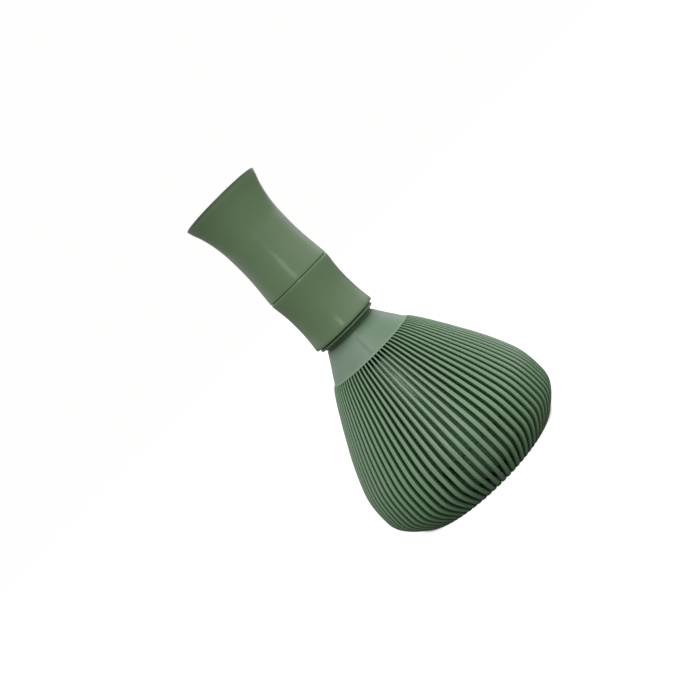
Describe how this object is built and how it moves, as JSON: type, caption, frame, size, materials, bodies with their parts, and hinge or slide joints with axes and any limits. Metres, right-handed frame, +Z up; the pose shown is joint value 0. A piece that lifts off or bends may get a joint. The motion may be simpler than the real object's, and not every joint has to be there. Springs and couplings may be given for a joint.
{
  "type": "matcha whisk",
  "caption": "Moulded plastic matcha whisk shaped like a bamboo chasen, with a flared hollow handle, a pull-off comb of fine curled tines and a smaller comb inside it.",
  "frame": {"origin": "centre of the circle of tine tips the whisk stands on, at the bottom of its box", "axes": "+Z up the turning axis, from the tine tips to the open end of the handle"},
  "size_m": [0.0698, 0.0698, 0.12],
  "materials": {
    "upper_handle_plastic": "satin sage green, finely textured",
    "lower_handle_plastic": "satin sage green, finely textured",
    "collar_ring_plastic": "satin sage green",
    "outer_comb_plastic": "satin light sage green",
    "inner_comb_plastic": "satin sage green"
  },
  "bodies": {
    "comb": {"outer_comb": "outer_comb_plastic"},
    "collar": {"collar_ring": "collar_ring_plastic"},
    "handle": {"upper_handle": "upper_handle_plastic", "lower_handle": "lower_handle_plastic"},
    "core": {"inner_comb": "inner_comb_plastic"}
  },
  "joints": [
    {"name": "handle_pull", "type": "slide", "parent": "comb", "child": "collar", "axis": [0, 0, 1], "range_m": [0, 0.018]},
    {"name": "handle_turn", "type": "hinge", "parent": "collar", "child": "handle", "pos_m": [0, 0, 0.07], "axis": [0, 0, 1], "continuous": true},
    {"name": "inner_comb_pull", "type": "slide", "parent": "comb", "child": "core", "axis": [0, 0, -1], "range_m": [0, 0.078]}
  ]
}
